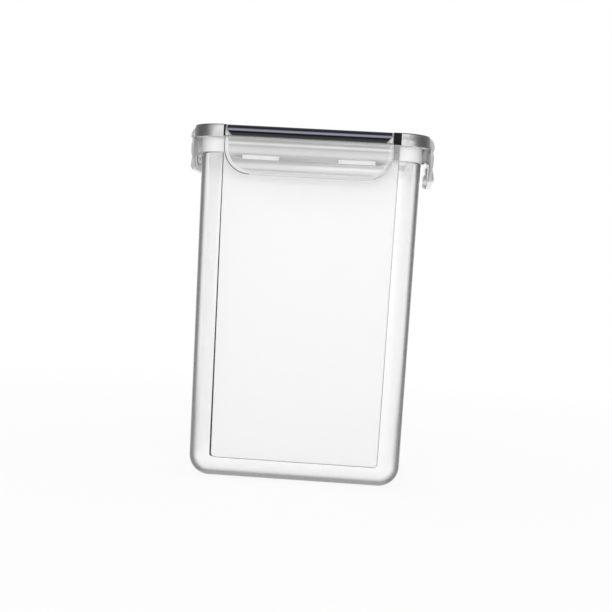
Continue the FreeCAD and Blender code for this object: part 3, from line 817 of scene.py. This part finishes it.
def make_flap(side, angle):
    """Clear flap with two windows, and a cheek over each end of its strip."""
    low = FLAP_LOW[side]
    outer, inner = flap_levels(low)
    rim = sum(RIM_RINGS)
    bm = flap_sheet(low)
    front = set(new_points(bmesh.ops.extrude_face_region(bm, geom=bm.faces[:])))
    for vert in bm.verts:
        _, along, height = vert.co
        if vert in front:
            near_border = max(1 - inside_outline(along, height, low) / rim, 0)
            vert.co.x = eased(outer, height) - RIM_DROP * near_border ** 2
        else:
            vert.co.x = eased(inner, height)
    bmesh.ops.recalc_face_normals(bm, faces=bm.faces)
    bm = combine(bm, turned_in_edge(low), "UNION")
    through = (FLAP_INNER - 2 * ROOM, FLAP_OUTER + 2 * ROOM)
    for end in (-1, 1):
        bm = combine(bm, block(through, end_range(end, WINDOW_ALONG), WINDOW_LEVELS), "DIFFERENCE")

    def at_border(face, middle, width):
        in_front = face.normal.x > LEANS and middle.z < RIM_TOP
        return in_front and inside_outline(middle.y, middle.z, low) < width

    def leftward(middle):
        """1 at the left end, fading to 0 past the left lower corner."""
        return min(max((LEFT_LIMIT - middle.y) / LEFT_FADE, 0), 1)

    def in_window(face, middle):
        level = WINDOW_LEVELS[0] - SLACK < middle.z < WINDOW_LEVELS[1] + SLACK
        within = WINDOW_ALONG[0] - SLACK < abs(middle.y) < WINDOW_ALONG[1] + SLACK
        return level and within and abs(face.normal.x) < LEANS

    def looks_away(face, middle):
        """True for the ends and the underside, and not for faces towards the middle or in a window."""
        at_end = face.normal.y * math.copysign(1, middle.y) > LEANS
        underneath = face.normal.z < -LEANS and middle.x > FLAP_INNER
        return (at_end or underneath) and abs(face.normal.x) < LEANS and not in_window(face, middle)

    def rim_highlight_share(face, middle):
        """Painted highlight in the windows and along the border, most at the left end."""
        if in_window(face, middle):
            return 1
        return at_border(face, middle, rim) * (RIM_LEAST + (1 - RIM_LEAST) * leftward(middle))

    mark_faces(bm, "back", lambda face, middle: face.normal.x < -LEANS or middle.x < FLAP_INNER)
    mark_faces(bm, "end", looks_away)
    # Share of the painted highlight on the border and in the windows
    mark_faces(bm, "rim", rim_highlight_share)
    # Share of the painted shade in the outline at the left end
    mark_faces(bm, "outline", lambda face, middle: at_border(face, middle, RIM_RINGS[0]) * leftward(middle))
    for end, reach, cheek in ENDS:
        bm = combine(bm, strip_end(end, reach, cheek), "UNION")
    finish_piece(
        turned(bm, angle), f"{side}_clear_flap", FLAP_PLASTIC[low], f"{side}_flap", [f"{side}_flap"]
    )


def make_strip(side, angle):
    """Black strip with mitred ends and a hole for the hinge pin."""
    bm = extrude_along(strip_section(STRIP_LOW), -STRIP_LEFT, STRIP_RIGHT)
    for end, reach, _ in ENDS:
        bm = mitre_cut(bm, end, reach, keep_inner=True)
    bm = combine(bm, pin_hole(), "DIFFERENCE")
    finish_piece(
        turned(bm, angle), f"{side}_black_strip", STRIP_BLACK, f"{side}_flap", [f"{side}_hinge_strip"],
        edge=FINE_EDGE,
    )


make_canister()
make_lid()
make_gasket()
for side, angle in SIDES.items():
    make_flap(side, angle)
    make_strip(side, angle)
for name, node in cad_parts.items():
    for ending, material in (("_bracket", BRACKET_BLACK), ("_pin", DRAWN_STEEL)):
        if name.endswith(ending):
            node.data.materials.clear()
            node.data.materials.append(material)


# Stage

FLOOR_GREY, FLOOR_FADE = 0.9, (0.15, 0.6)


def white_for_seen_rays(tree):
    """1 for rays from the camera, a reflection or clear plastic, 0 for the light that falls on things."""
    light_path = tree.nodes.new("ShaderNodeLightPath")
    either = light_path.outputs["Is Camera Ray"]
    for name in ("Is Glossy Ray", "Is Transmission Ray"):
        node = tree.nodes.new("ShaderNodeMath")
        node.operation = "MAXIMUM"
        tree.links.new(either, node.inputs[0])
        tree.links.new(light_path.outputs[name], node.inputs[1])
        either = node.outputs["Value"]
    return either


def make_world(ambient):
    """White backdrop that lights the object at a plain level."""
    world = bpy.data.worlds.new("studio")
    bpy.context.scene.world = world
    world.use_nodes = True
    tree = world.node_tree
    seen = tree.nodes["Background"]
    fill = tree.nodes.new("ShaderNodeBackground")
    for background, strength in ((seen, 1), (fill, ambient)):
        background.inputs["Color"].default_value = (1, 1, 1, 1)
        background.inputs["Strength"].default_value = strength
    mix = tree.nodes.new("ShaderNodeMixShader")
    tree.links.new(white_for_seen_rays(tree), mix.inputs["Fac"])
    tree.links.new(fill.outputs["Background"], mix.inputs[1])
    tree.links.new(seen.outputs["Background"], mix.inputs[2])
    tree.links.new(mix.outputs["Shader"], tree.nodes["World Output"].inputs["Surface"])


def make_floor(radius, white_share):
    """Pale disc, in metres, that takes the object's shadow and otherwise shows as white as the backdrop."""
    bm = bmesh.new()
    bmesh.ops.create_circle(bm, cap_ends=True, radius=radius, segments=64)
    mesh = bpy.data.meshes.new("floor")
    bm.to_mesh(mesh)
    bm.free()
    floor = bpy.data.objects.new("floor", mesh)
    bpy.context.collection.objects.link(floor)
    material, tree, shader = material_of("pale_floor")
    shader.inputs["Base Color"].default_value = (FLOOR_GREY, FLOOR_GREY, FLOOR_GREY, 1)
    shader.inputs["Roughness"].default_value = 0.9
    glow = tree.nodes.new("ShaderNodeEmission")
    glow.inputs["Strength"].default_value = 1
    away = tree.nodes.new("ShaderNodeVectorMath")
    away.operation = "LENGTH"
    tree.links.new(object_place(tree), away.inputs[0])
    share = tree.nodes.new("ShaderNodeMath")
    share.operation = "MULTIPLY"
    tree.links.new(white_for_seen_rays(tree), share.inputs[0])
    tree.links.new(spread(tree, away.outputs["Value"], white_share, 1, *FLOOR_FADE), share.inputs[1])
    mix = tree.nodes.new("ShaderNodeMixShader")
    tree.links.new(share.outputs["Value"], mix.inputs["Fac"])
    tree.links.new(shader.outputs["BSDF"], mix.inputs[1])
    tree.links.new(glow.outputs["Emission"], mix.inputs[2])
    tree.links.new(mix.outputs["Shader"], tree.nodes["Material Output"].inputs["Surface"])
    mesh.materials.append(material)


def make_softbox(name, place, target, size, power):
    """Rectangular lamp at a place in metres that shines towards a target."""
    light = bpy.data.lights.new(name, "AREA")
    light.shape = "RECTANGLE"
    light.size, light.size_y = size
    light.energy = power
    lamp = bpy.data.objects.new(name, light)
    lamp.location = place
    lamp.rotation_euler = (Vector(target) - Vector(place)).to_track_quat("-Z", "Y").to_euler()
    bpy.context.collection.objects.link(lamp)


def make_camera():
    """Camera as read from the photograph's edges: where it stands, where it looks, and its tilt."""
    place = Vector((42.54, -663.58, 108.94)) * METRE
    yaw, down, roll = math.radians(3.76), math.radians(1.99), math.radians(3.30)
    focal_pixels, frame_pixels = 1249.5, 612
    data = bpy.data.cameras.new("camera")
    data.sensor_width = 36
    data.lens = focal_pixels / frame_pixels * data.sensor_width
    data.clip_start = 0.01
    camera = bpy.data.objects.new("camera", data)
    camera.matrix_world = (
        Matrix.Translation(place)
        @ Matrix.Rotation(yaw, 4, "Z")
        @ Matrix.Rotation(math.pi / 2 - down, 4, "X")
        @ Matrix.Rotation(roll, 4, "Z")
    )
    bpy.context.collection.objects.link(camera)
    bpy.context.scene.camera = camera


make_world(ambient=0.75)
make_floor(radius=4, white_share=0.9)
make_softbox("broad_front_light", place=(0.1, -1.25, 0.2), target=(0, -0.05, 0.1), size=(1.2, 1.0), power=3.4)
make_softbox("small_softbox", place=(0.1, -0.72, 0.42), target=(0.02, -0.06, 0.165), size=(0.3, 0.06), power=0.35)
make_camera()

# Light passes many clear walls on its way
CLEAR_BOUNCES, MATT_BOUNCES = 32, 8
scene = bpy.context.scene
scene.view_settings.view_transform = "Standard"
scene.cycles.max_bounces = CLEAR_BOUNCES
scene.cycles.transmission_bounces = CLEAR_BOUNCES
scene.cycles.glossy_bounces = CLEAR_BOUNCES
scene.cycles.diffuse_bounces = MATT_BOUNCES
